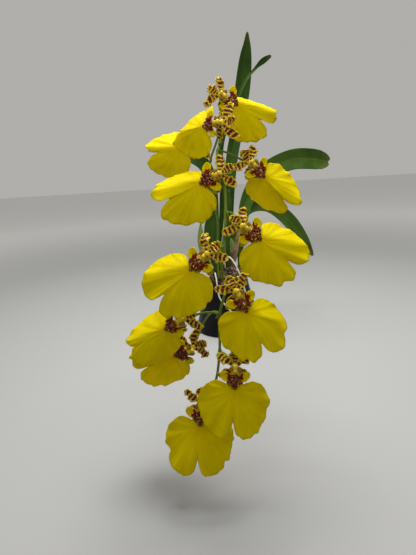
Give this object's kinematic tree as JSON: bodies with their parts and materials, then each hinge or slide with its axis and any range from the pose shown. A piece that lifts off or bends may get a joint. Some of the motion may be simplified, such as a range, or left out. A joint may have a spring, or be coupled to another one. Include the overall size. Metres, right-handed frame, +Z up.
{
  "type": "potted orchid",
  "caption": "Yellow dancing-lady orchid in a small black pot: pseudobulbs, strap leaves and one arching spike whose open flowers hang down in front of the pot.",
  "frame": {"origin": "centre of the pot's flat underside", "axes": "+Z up, the flower spray hangs towards -Y, +X to the right when facing the flowers"},
  "size_m": [0.2056, 0.3425, 0.3311],
  "materials": {
    "pot": "smooth black plastic, slightly glossy",
    "bark": "rough dark bark chips and dry roots",
    "bulb": "ribbed green pseudobulb, satin",
    "leaf": "dark green leathery leaf, satin, fine parallel veins",
    "shoot": "light green young leaf, satin",
    "sheath": "dry brown fibrous sheath",
    "stem": "smooth yellow-green stem",
    "root": "matt whitish aerial root",
    "lip": "soft bright yellow petal with a red-brown crest",
    "tepal": "yellow petal barred with red-brown"
  },
  "bodies": {
    "root": {"pot": "pot", "bark_mix": "bark", "pseudobulb_front": "bulb", "pseudobulb_middle": "bulb", "pseudobulb_back": "bulb", "leaf_tall": "leaf", "leaf_narrow": "leaf", "leaf_right": "leaf", "leaf_drooping": "leaf", "leaf_left": "leaf", "leaf_front": "leaf", "leaf_small": "leaf", "leaf_shoot": "shoot", "dry_sheath": "sheath", "flower_spike": "stem", "aerial_root_front": "root", "aerial_root_side": "root", "aerial_root_back": "root", "flower_01_lip": "lip", "flower_01_sepals_petals": "tepal", "flower_01_pedicel": "stem", "flower_02_lip": "lip", "flower_02_sepals_petals": "tepal", "flower_02_pedicel": "stem", "flower_03_lip": "lip", "flower_03_sepals_petals": "tepal", "flower_03_pedicel": "stem", "flower_04_lip": "lip", "flower_04_sepals_petals": "tepal", "flower_04_pedicel": "stem", "flower_05_lip": "lip", "flower_05_sepals_petals": "tepal", "flower_05_pedicel": "stem", "flower_06_lip": "lip", "flower_06_sepals_petals": "tepal", "flower_06_pedicel": "stem", "flower_07_lip": "lip", "flower_07_sepals_petals": "tepal", "flower_07_pedicel": "stem", "flower_08_lip": "lip", "flower_08_sepals_petals": "tepal", "flower_08_pedicel": "stem", "flower_09_lip": "lip", "flower_09_sepals_petals": "tepal", "flower_09_pedicel": "stem", "flower_10_lip": "lip", "flower_10_sepals_petals": "tepal", "flower_10_pedicel": "stem", "flower_11_lip": "lip", "flower_11_sepals_petals": "tepal", "flower_11_pedicel": "stem", "flower_12_lip": "lip", "flower_12_sepals_petals": "tepal", "flower_12_pedicel": "stem"}
  },
  "joints": []
}
